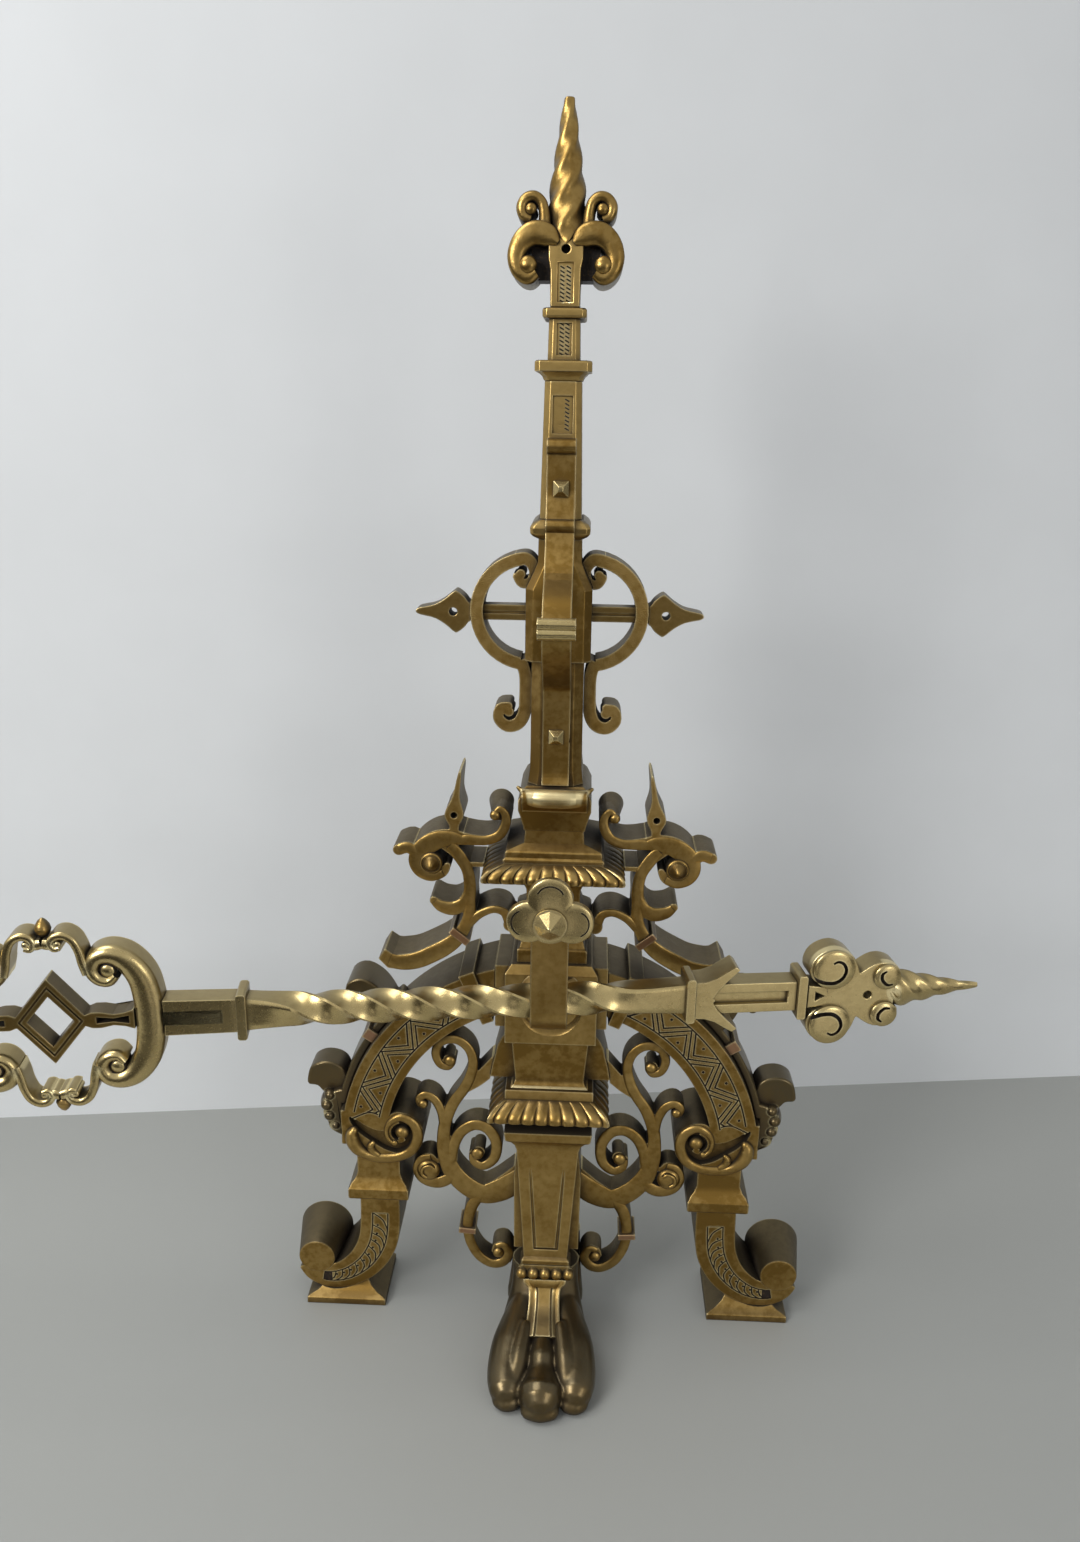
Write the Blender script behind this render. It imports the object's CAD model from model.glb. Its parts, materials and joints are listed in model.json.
"""Aged brass andiron with a lion paw, scrolled side legs and a lift-out twisted crossbar."""

import json
import math

import bmesh
import bpy
from mathutils import Matrix, Vector

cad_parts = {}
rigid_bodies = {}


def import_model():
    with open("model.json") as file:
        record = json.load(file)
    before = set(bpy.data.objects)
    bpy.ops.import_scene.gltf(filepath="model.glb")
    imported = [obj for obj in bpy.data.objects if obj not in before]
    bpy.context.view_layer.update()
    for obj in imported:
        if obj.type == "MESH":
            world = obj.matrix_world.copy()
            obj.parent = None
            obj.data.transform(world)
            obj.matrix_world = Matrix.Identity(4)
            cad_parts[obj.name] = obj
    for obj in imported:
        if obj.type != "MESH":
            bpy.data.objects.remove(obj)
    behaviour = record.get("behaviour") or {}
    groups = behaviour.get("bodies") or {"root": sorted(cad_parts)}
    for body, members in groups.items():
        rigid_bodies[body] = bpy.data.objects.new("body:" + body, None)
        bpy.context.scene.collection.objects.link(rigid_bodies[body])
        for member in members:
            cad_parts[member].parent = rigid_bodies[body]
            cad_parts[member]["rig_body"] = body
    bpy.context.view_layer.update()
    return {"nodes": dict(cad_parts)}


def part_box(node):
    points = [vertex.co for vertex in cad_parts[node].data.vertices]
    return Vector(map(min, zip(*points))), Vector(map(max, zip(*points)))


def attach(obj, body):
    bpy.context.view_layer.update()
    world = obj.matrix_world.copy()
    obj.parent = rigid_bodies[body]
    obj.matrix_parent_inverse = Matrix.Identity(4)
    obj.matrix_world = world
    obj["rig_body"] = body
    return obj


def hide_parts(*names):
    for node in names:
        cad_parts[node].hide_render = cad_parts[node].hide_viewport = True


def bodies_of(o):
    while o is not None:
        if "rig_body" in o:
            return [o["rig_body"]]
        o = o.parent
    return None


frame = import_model()

bl_info = {
    "name": "Brass Andiron",
    "version": (1, 0, 0),
    "blender": (4, 5, 0),
    "location": "View3D > Sidebar > Andiron",
    "description": "Dresses the castings of a brass andiron and its crossbar",
    "category": "Object",
}

MM = 0.001

# ---------------------------------------------------------------- places taken from the frame

# foot of the upright's axis, from which most points below are measured
UPRIGHT = Vector((0, sum(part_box("tie_rod")[i].y for i in (0, 1)) / 2, 0))
ON_UPRIGHT = Matrix.Translation(UPRIGHT)
ARCH_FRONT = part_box("arch_right")[0].y
LEG_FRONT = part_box("side_leg_right")[0].y + 0.6 * MM
BAR_YAW = math.radians(8)
BAR_FROM_MIDDLE = 264 * MM
BAR_Y = UPRIGHT.y - 58 * MM
BAR_Z = 246 * MM
# middle of the crossbar, with X along it
BAR = (
    Matrix.Translation((0, BAR_Y, BAR_Z))
    @ Matrix.Rotation(BAR_YAW, 4, "Z")
    @ Matrix.Translation((-BAR_FROM_MIDDLE, 0, 0))
)
# millimetres from the bar's middle: the wound length between its flat ends, and the finial's spike
WOUND_FROM = 99
WOUND_TO = 341.5
SPIKE_FROM = 462
MIRROR = Matrix.Scale(-1, 4, (1, 0, 0))

# the camera's place, and how far it is turned, tilted down and rolled
EYE = UPRIGHT + Vector((14.6, -628.8, 558.9)) * MM
EYE_TURN = math.radians(2.181)
EYE_TILT = math.radians(17.57)
EYE_ROLL = math.radians(0.871)
LENS_MM = 27.03
WALL_TURN = math.radians(7.6)


# ---------------------------------------------------------------- settings


class AndironSizes(bpy.types.PropertyGroup):
    """Sizes of the finishing work"""

    edge: bpy.props.FloatProperty(
        name="Worn edge", description="Width of the rounding on cast edges",
        default=0.6 * MM, min=0.1 * MM, max=1.5 * MM, unit="LENGTH", precision=5)
    engraved_depth: bpy.props.FloatProperty(
        name="Engraving depth", description="Depth of the engraved lines",
        default=0.7 * MM, min=0.2 * MM, max=1.5 * MM, unit="LENGTH", precision=5)
    wall_gap: bpy.props.FloatProperty(
        name="Wall distance", description="From the upright's axis back to the wall",
        default=224 * MM, min=150 * MM, max=600 * MM, unit="LENGTH")


def srgb(code):
    """A hex sRGB colour as linear red, green, blue and alpha."""
    parts = [int(code[i:i + 2], 16) / 255 for i in (0, 2, 4)]
    return tuple(c / 12.92 if c <= 0.04045 else ((c + 0.055) / 1.055) ** 2.4 for c in parts) + (1,)


def colour(name, code, text):
    return bpy.props.FloatVectorProperty(
        name=name, description=text, subtype="COLOR", size=4, min=0, max=1, default=srgb(code))


class AndironColours(bpy.types.PropertyGroup):
    """Colours of the metal, its patina and the studio"""

    brass: colour("Brass", "cfae6c", "Cast brass under its thin film")
    rubbed: colour("Rubbed brass", "dcc78f", "Pale brass where it is handled")
    worn: colour("Worn edge", "f3e2ae", "Edges rubbed bright")
    tarnish: colour("Tarnish", "80632f", "Brown film on the open faces")
    smoked: colour("Smoked brass", "5c5646", "Dark grey brown of the sides and the paw")
    patina: colour("Patina", "1c130b", "Old polish and soot in the recesses")
    bronze: colour("Clip bronze", "b98f74", "Pinkish bronze of the small clips")
    iron: colour("Iron", "4a4642", "Wrought iron of the tie rod")
    floor: colour("Floor", "999a96", "Plain pale floor")
    wall: colour("Wall", "dcdedf", "Plain pale wall")


def sizes():
    return bpy.context.scene.andiron_sizes


def colours():
    return bpy.context.scene.andiron_colours


# ---------------------------------------------------------------- materials


# settings that most nodes of a kind share
SMOOTH = {"interpolation_type": "SMOOTHSTEP"}
TIMES = {"operation": "MULTIPLY", "use_clamp": True}
TIMES_PLUS = {"operation": "MULTIPLY_ADD", "use_clamp": True}
COLOURS = {"data_type": "RGBA"}


def fill(tree, node, inputs):
    """Sets or links a node's inputs."""
    for key, value in inputs.items():
        if isinstance(value, bpy.types.NodeSocket):
            tree.links.new(value, node.inputs[key])
        else:
            node.inputs[key].default_value = value


def add(tree, kind, settings, inputs, output=0):
    """Adds one node, sets its options, fills its inputs, and gives one of its outputs."""
    node = tree.nodes.new("ShaderNode" + kind)
    for key, value in settings.items():
        setattr(node, key, value)
    fill(tree, node, inputs)
    return node.outputs[output]


def new_material(name):
    """An empty material, its node tree, its shader and its Object coordinates."""
    material = bpy.data.materials.new(name)
    material.use_nodes = True
    tree = material.node_tree
    return material, tree, tree.nodes["Principled BSDF"], add(tree, "TexCoord", {}, {}, "Object")


def brass(name, base, tarnish, roughness, recess, hatch=0.0, bump=0.12, sides=0.85, wear=0.85):
    """Cast brass. The faces carry a brown film in patches a few centimetres wide, heavier on the
    sides, tops and backs that no cloth reaches. The recesses hold dark old polish, and edges are
    rubbed bright. Metallic 1 with the default IOR; the crust in the recesses is dull and barely
    metallic."""
    if name in bpy.data.materials:
        return bpy.data.materials[name]
    c = colours()
    material, tree, shader, place = new_material(name)
    # film in patches of 30 mm, broken up by 4 mm clouds, with pits of 1.1 mm
    patches, clouds, pits = (
        add(tree, "MapRange", SMOOTH, {
            "From Min": low, "From Max": high,
            "Value": add(tree, "TexNoise", {}, {
                "Vector": place, "Scale": 1 / (lump * MM), "Detail": detail, "Roughness": 0.55})})
        for lump, detail, low, high in (
            (30, 3, 0.34, 0.7), (4, 4, 0.36, 0.72), (1.1, 2, 0.64, 0.74)))
    film = add(tree, "Math", TIMES_PLUS, {0: patches, 1: tarnish * 0.46, 2: tarnish * 0.66})
    film = add(tree, "Math", TIMES_PLUS, {0: clouds, 1: tarnish * 0.32, 2: film})
    # share of a face turned away from the front
    facing = add(tree, "SeparateXYZ", {}, {0: add(tree, "TexCoord", {}, {}, "Normal")}, "Y")
    away = add(tree, "MapRange", SMOOTH, {
        "Value": facing, "From Min": -0.8, "From Max": -0.15, "To Max": sides})
    # crevices within a few millimetres hold dirt; edges within one are worn where they are clean
    hollow = add(tree, "AmbientOcclusion", {"samples": 6}, {"Distance": recess * MM}, "AO")
    dirt = add(tree, "MapRange", SMOOTH, {
        "Value": hollow, "From Min": 0.32, "From Max": 0.92, "To Min": 1.0, "To Max": 0.0})
    dirt = add(tree, "Math", TIMES_PLUS, {0: pits, 1: 0.16, 2: dirt})
    edge = add(tree, "AmbientOcclusion", {"samples": 5, "inside": True, "only_local": True},
               {"Distance": 1.4 * MM}, "AO")
    worn = add(tree, "MapRange", SMOOTH, {
        "Value": edge, "From Min": 0.4, "From Max": 0.86, "To Min": 1.0, "To Max": 0.0})
    worn = add(tree, "Math", TIMES, {
        0: worn, 1: add(tree, "Math", TIMES_PLUS, {0: dirt, 1: -wear, 2: wear})})
    caked = add(tree, "Math", TIMES, {0: dirt, 1: 0.93})
    paint = base
    for share, layer in ((film, c.tarnish), (away, c.smoked), (worn, c.worn), (caked, c.patina)):
        paint = add(tree, "Mix", COLOURS, {"Factor": share, "A": paint, "B": layer}, "Result")
    haze = roughness
    for share, dulling in ((film, 0.14), (dirt, 0.3), (away, 0.12)):
        haze = add(tree, "Math", TIMES_PLUS, {0: share, 1: dulling, 2: haze})
    # cast grain of 0.9 mm over the clouds, and the chaser's marks side by side on a hatched face
    grain = add(tree, "TexNoise", {}, {
        "Vector": place, "Scale": 1 / (0.9 * MM), "Detail": 2, "Roughness": 0.55})
    height = add(tree, "Math", TIMES, {0: clouds, 1: 0.5})
    height = add(tree, "Math", TIMES_PLUS, {0: grain, 1: 0.5, 2: height})
    if hatch:
        marks = add(tree, "TexVoronoi", {}, {
            "Vector": place, "Scale": 1 / (hatch * MM), "Randomness": 0.8}, "Distance")
        height = add(tree, "Math", TIMES, {0: height, 1: 0.4})
        height = add(tree, "Math", TIMES_PLUS, {0: marks, 1: 0.6, 2: height})
    relief = add(tree, "Bump", {}, {"Strength": bump, "Distance": 0.5 * MM, "Height": height})
    metallic = add(tree, "Math", TIMES_PLUS, {0: dirt, 1: -0.55, 2: 1.0})
    fill(tree, shader, {
        "Base Color": paint, "Metallic": metallic, "Roughness": haze, "Normal": relief})
    return material


def aged_brass():
    """Cast brass of the upright, polished now and then."""
    return brass("aged cast brass", colours().brass, 0.62, 0.23, recess=9.0)


def polished_brass():
    """Top of the upright, which is polished most."""
    return brass("polished cast brass", colours().brass, 0.36, 0.24, recess=8.0)


def clean_brass():
    """Rounded scrolls and spike of the top finial, whose overlapping shells take no edge wear."""
    return brass("polished rounded brass", colours().brass, 0.66, 0.22, recess=8.0, bump=0.2,
                 wear=0.0)


def tarnished_brass():
    """Cast brass of the legs and mouldings, deep brown between its worn edges."""
    return brass("tarnished cast brass", colours().brass, 0.92, 0.26, recess=12.0)


def chased_brass():
    """Scroll faces with the fine file marks of the chaser."""
    return brass("chased brass", colours().brass, 0.7, 0.3, recess=9.0, hatch=0.8, bump=0.4)


def rolled_brass():
    """Rounded scroll bands and leaves, whose overlapping shells take no edge wear."""
    return brass("rolled brass", colours().brass, 0.66, 0.25, recess=9.0, bump=0.2, wear=0.0)


def bright_brass():
    """Bar and knobs that are handled and rubbed, so less film and a tighter shine."""
    return brass("rubbed brass", colours().rubbed, 0.3, 0.22, recess=4.0, sides=0.45)


def dark_brass():
    """Paw and rim that nobody polishes."""
    return brass("smoked brass", colours().smoked, 0.3, 0.26, recess=12.0, sides=0.5)


def clip_bronze():
    """Pinkish bronze of the small clips."""
    return brass("clip bronze", colours().bronze, 0.35, 0.32, recess=3.0)


def crust():
    """Dried polish and soot that fills the engraved lines: nearly black, dull, not metallic."""
    name = "polish crust"
    if name in bpy.data.materials:
        return bpy.data.materials[name]
    material, tree, shader, place = new_material(name)
    flecks, grit = (
        add(tree, "TexNoise", {}, {
            "Vector": place, "Scale": 1 / (lump * MM), "Detail": 2, "Roughness": 0.55})
        for lump in (1.5, 0.6))
    flecks = add(tree, "MapRange", SMOOTH, {"Value": flecks, "From Min": 0.5, "From Max": 0.75})
    fill(tree, shader, {
        "Base Color": add(tree, "Mix", COLOURS, {
            "Factor": flecks, "A": colours().patina, "B": srgb("4a3720")}, "Result"),
        "Metallic": 0.3,
        "Roughness": 0.62,
        "Normal": add(tree, "Bump", {}, {"Strength": 0.3, "Distance": 0.3 * MM, "Height": grit})})
    return material


def wrought_iron():
    """Dark forged iron with a rough scale of 3 mm."""
    name = "wrought iron"
    if name in bpy.data.materials:
        return bpy.data.materials[name]
    material, tree, shader, place = new_material(name)
    scale = add(tree, "TexNoise", {}, {
        "Vector": place, "Scale": 1 / (3 * MM), "Detail": 4, "Roughness": 0.55})
    share = add(tree, "MapRange", SMOOTH, {"Value": scale, "From Min": 0.4, "From Max": 0.7})
    fill(tree, shader, {
        "Base Color": add(tree, "Mix", COLOURS, {
            "Factor": share, "A": colours().iron, "B": srgb("2b2622")}, "Result"),
        "Metallic": 0.9,
        "Roughness": 0.55,
        "Normal": add(tree, "Bump", {}, {"Strength": 0.4, "Distance": 0.4 * MM, "Height": scale})})
    return material


# ---------------------------------------------------------------- mesh helpers


def casting(node, whole=True):
    """A merged copy of a CAD node's mesh, with flat faces made whole unless they hold cuts."""
    bm = bmesh.new()
    bm.from_mesh(frame["nodes"][node].data)
    bmesh.ops.remove_doubles(bm, verts=bm.verts, dist=2e-6)
    if whole:
        bmesh.ops.dissolve_limit(bm, angle_limit=math.radians(0.6), verts=bm.verts, edges=bm.edges)
    return bm


def engrave(bm, front, depth):
    """Gives the second material, the dark crust, to the cuts behind a front face."""
    for face in bm.faces:
        inside = front + 0.05 * MM < face.calc_center_median().y < front + depth + 0.05 * MM
        if inside and all(v.co.y < front + depth + 0.05 * MM for v in face.verts):
            face.material_index = 1


def outward(bm):
    """Turns the faces of closed shells outwards."""
    bmesh.ops.recalc_face_normals(bm, faces=bm.faces)
    return bm


def cut_off(bm, spot, way):
    """Cuts away what lies beyond a plane, and closes the cut."""
    bmesh.ops.bisect_plane(bm, geom=bm.verts[:] + bm.edges[:] + bm.faces[:], plane_co=spot,
                           plane_no=way, clear_outer=True)
    bmesh.ops.holes_fill(bm, edges=[edge for edge in bm.edges if edge.is_boundary])


def soften(bm, width, angle=28.0, segments=2):
    """Rounds the sharp outer edges of a casting, and leaves its engraving crisp."""
    sharp = [e for e in bm.edges
             if len(e.link_faces) == 2 and e.calc_face_angle_signed(0) > math.radians(angle)
             and not any(f.material_index for f in e.link_faces)]
    if sharp:
        bmesh.ops.bevel(bm, geom=sharp, offset=width, offset_type="OFFSET", segments=segments,
                        profile=0.5, affect="EDGES", clamp_overlap=False, material=-1)


def shade(bm, angle=35.0):
    for face in bm.faces:
        face.smooth = True
    for edge in bm.edges:
        edge.smooth = edge.calc_face_angle(0) < math.radians(angle)


def finished(bm, name, body, materials, nodes=(), weighted=True):
    """Turns a bmesh into a piece that rides on a body and stands for its nodes."""
    mesh = bpy.data.meshes.new(name)
    bm.to_mesh(mesh)
    bm.free()
    piece = bpy.data.objects.new(name, mesh)
    bpy.context.scene.collection.objects.link(piece)
    for material in materials:
        mesh.materials.append(material)
    if weighted:
        flats = piece.modifiers.new("even flats", "WEIGHTED_NORMAL")
        flats.keep_sharp = True
    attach(piece, body)
    if nodes:
        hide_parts(*nodes)
    return piece


def body_of(node):
    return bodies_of(frame["nodes"][node])[0]


def carved(bm, cutter, solver="EXACT"):
    """Cuts one closed mesh out of another; the cut faces take the second material."""
    for face in cutter.faces:
        face.material_index = 1
    parts = []
    for source in (bm, cutter):
        mesh = bpy.data.meshes.new("cut")
        source.to_mesh(mesh)
        source.free()
        mesh.materials.append(aged_brass())
        mesh.materials.append(crust())
        part = bpy.data.objects.new("cut", mesh)
        bpy.context.scene.collection.objects.link(part)
        parts.append(part)
    cut = parts[0].modifiers.new("cut", "BOOLEAN")
    cut.operation = "DIFFERENCE"
    cut.solver = solver
    cut.object = parts[1]
    cut.material_mode = "INDEX"
    graph = bpy.context.evaluated_depsgraph_get()
    result = bmesh.new()
    result.from_mesh(parts[0].evaluated_get(graph).data)
    for part in parts:
        mesh = part.data
        bpy.data.objects.remove(part)
        bpy.data.meshes.remove(mesh)
    return result


def pulled(bm, face, shapes):
    """Extrudes a face through rings of points, one ring after another, as a closed shell."""
    for number, ring in enumerate(shapes):
        if number:
            grown = bmesh.ops.extrude_face_region(bm, geom=[face])["geom"]
            if number > 1:
                bmesh.ops.delete(bm, geom=[face], context="FACES_ONLY")
            face = next(part for part in grown if isinstance(part, bmesh.types.BMFace))
        for vert, point in zip(face.verts, ring):
            vert.co = point


def circle_face(bm, count):
    """A face with count corners to start a pulled shape from."""
    made = bmesh.ops.create_circle(bm, cap_ends=True, segments=count, radius=1)["verts"]
    return made[0].link_faces[0]


def sections(shape, places):
    """The same flat outline at each place, where a place is a matrix."""
    return [[place @ Vector((x, y, 0)) for x, y in shape] for place in places]


def soft_square(count, power=5.0):
    """Square of half width 1 with rounded corners, as points around its middle."""
    turn = [2 * math.pi * (i + 0.5) / count for i in range(count)]
    reach = [(abs(math.cos(a)) ** power + abs(math.sin(a)) ** power) ** (-1 / power) for a in turn]
    return [(r * math.cos(a), r * math.sin(a)) for r, a in zip(reach, turn)]


def glide(points, steps=6):
    """Smooth path through points of any length."""
    path = []
    last = len(points) - 1
    for i in range(last):
        a, b, c, d = (points[k] for k in (max(i - 1, 0), i, i + 1, min(i + 2, last)))
        for step in range(steps):
            t = step / steps
            path.append([0.5 * (2 * q + (r - p) * t + (2 * p - 5 * q + 4 * r - s) * t ** 2
                                + (3 * q - p - 3 * r + s) * t ** 3)
                         for p, q, r, s in zip(a, b, c, d)])
    return path + [list(points[last])]


def finger(bm, points, flat=1.0, count=20):
    """Round bar along [x, y, z, radius] points in millimetres, with rounded ends."""
    path = glide(points)
    spots = [Vector(p[:3]) * MM for p in path]
    sizes_of = [p[3] * MM for p in path]
    places = []
    for i, (spot, size) in enumerate(zip(spots, sizes_of)):
        ahead = spots[min(i + 1, len(spots) - 1)] - spots[max(i - 1, 0)]
        turn = ahead.to_track_quat("Z", "Y").to_matrix().to_4x4()
        if i == 0:
            caps = [(-0.98, 0.2), (-0.8, 0.6), (-0.4, 0.92), (0, 1)]
        elif i == len(spots) - 1:
            caps = [(0, 1), (0.4, 0.92), (0.8, 0.6), (0.98, 0.2)]
        else:
            caps = [(0, 1)]
        for along, wide in caps:
            places.append(Matrix.Translation(spot + ahead.normalized() * size * along) @ turn
                          @ Matrix.Diagonal((size * wide, size * wide * flat, 1, 1)))
    shape = [(math.cos(2 * math.pi * k / count), math.sin(2 * math.pi * k / count))
             for k in range(count)]
    pulled(bm, circle_face(bm, count), sections(shape, places))


def sweep(bm, points, front, back, dome, steps=6):
    """Cast band with a domed face along a flat path of [x, z, half width], all in millimetres."""
    path = glide(points, steps)
    spots = [Vector((x, 0, z)) for x, z, _ in path]
    turn = [math.radians(a) for a in range(0, 181, 18)]
    rings = []
    for i, (x, z, wide) in enumerate(path):
        ahead = (spots[min(i + 1, len(path) - 1)] - spots[max(i - 1, 0)]).normalized()
        across = Vector((-ahead.z, 0, ahead.x)) * wide
        ring = [spots[i] + across * math.cos(a) + Vector((0, front + dome * (1 - math.sin(a)), 0))
                for a in turn]
        ring += [spots[i] - across + Vector((0, back, 0)), spots[i] + across + Vector((0, back, 0))]
        rings.append([point * MM for point in ring])
    pulled(bm, circle_face(bm, len(rings[0])), rings)


def knob(bm, x, z, rows):
    """Round knob that faces forward, turned through rows of y and radius."""
    turn = [2 * math.pi * k / 32 for k in range(32)]
    pulled(bm, circle_face(bm, 32),
           [[Vector((x + wide * math.cos(a), y, z + wide * math.sin(a))) * MM for a in turn]
            for y, wide in rows])


def boss(bm, x, z, wide, front, back, dome):
    """Round boss with a domed face."""
    knob(bm, x, z, [(back, wide), (front + dome, wide), (front + dome * 0.62, 0.93 * wide),
                    (front + dome * 0.28, 0.74 * wide), (front + dome * 0.08, 0.42 * wide),
                    (front, 0.12 * wide)])


def half_depth(bm, base):
    """Half depth of a casting on the crossbar, measured across the bar."""
    turned = base.inverted()
    return max(-(turned @ vert.co).y for vert in bm.verts)


def twisted_spike(rows, base, rate, square):
    """Four-ridged spike from rows of height, radius and y in millimetres, up the base's Z axis; it
    turns by rate degrees in a millimetre."""
    places = [base @ Matrix.Translation((0, y * MM, height * MM))
              @ Matrix.Rotation(math.radians(rate * height), 4, "Z")
              @ Matrix.Diagonal((wide * 0.8 * MM, wide * 0.8 * MM, 1, 1))
              for height, wide, y in glide(rows, 6)]
    bm = bmesh.new()
    pulled(bm, circle_face(bm, 40), sections(soft_square(40, square), places))
    return outward(bm)


def joined(parts):
    """One bmesh that holds the shells of several."""
    whole = bmesh.new()
    for part in parts:
        mesh = bpy.data.meshes.new("part")
        part.to_mesh(mesh)
        part.free()
        whole.from_mesh(mesh)
        bpy.data.meshes.remove(mesh)
    return whole


def moved(bm, matrix):
    bmesh.ops.transform(bm, matrix=matrix, verts=bm.verts)
    if matrix.determinant() < 0:
        bmesh.ops.reverse_faces(bm, faces=bm.faces)
    return bm


def on_side(bm, side):
    """Sets a piece drawn to the right of the upright's axis in its place on either side."""
    return moved(bm, MIRROR @ ON_UPRIGHT if side == "left" else ON_UPRIGHT)


def melted(bm, grain, smoothing=4):
    """Melts overlapping shells into one cast skin."""
    mesh = bpy.data.meshes.new("melt")
    bm.to_mesh(mesh)
    bm.free()
    part = bpy.data.objects.new("melt", mesh)
    bpy.context.scene.collection.objects.link(part)
    skin = part.modifiers.new("skin", "REMESH")
    skin.mode = "VOXEL"
    skin.voxel_size = grain
    graph = bpy.context.evaluated_depsgraph_get()
    result = bmesh.new()
    result.from_mesh(part.evaluated_get(graph).data)
    bpy.data.objects.remove(part)
    bpy.data.meshes.remove(mesh)
    for _ in range(smoothing):
        bmesh.ops.smooth_vert(result, verts=result.verts, factor=0.5, use_axis_x=True,
                              use_axis_y=True, use_axis_z=True)
    return result


def dress(node, material, edge=1.0, cutter=None, segments=2, front=None,
          extra=()):
    """Finishes one CAD node: edges softened by a share of the worn edge, the cuts behind its front
    face filled with crust, more cuts, more shells."""
    bm = casting(node, front is None)
    if front is not None:
        engrave(bm, front, sizes().engraved_depth)
    if edge:
        soften(bm, sizes().edge * edge, segments=segments)
    if cutter is not None:
        bm = carved(bm, cutter)
    if extra:
        bm = joined([bm, *extra])
    shade(bm)
    return finished(bm, node + "_cast", body_of(node), [material, crust()], [node])


# ---------------------------------------------------------------- operators


class PieceOperator:
    bl_options = {"REGISTER", "UNDO"}

    def execute(self, context):
        self.build()
        return {"FINISHED"}


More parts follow.
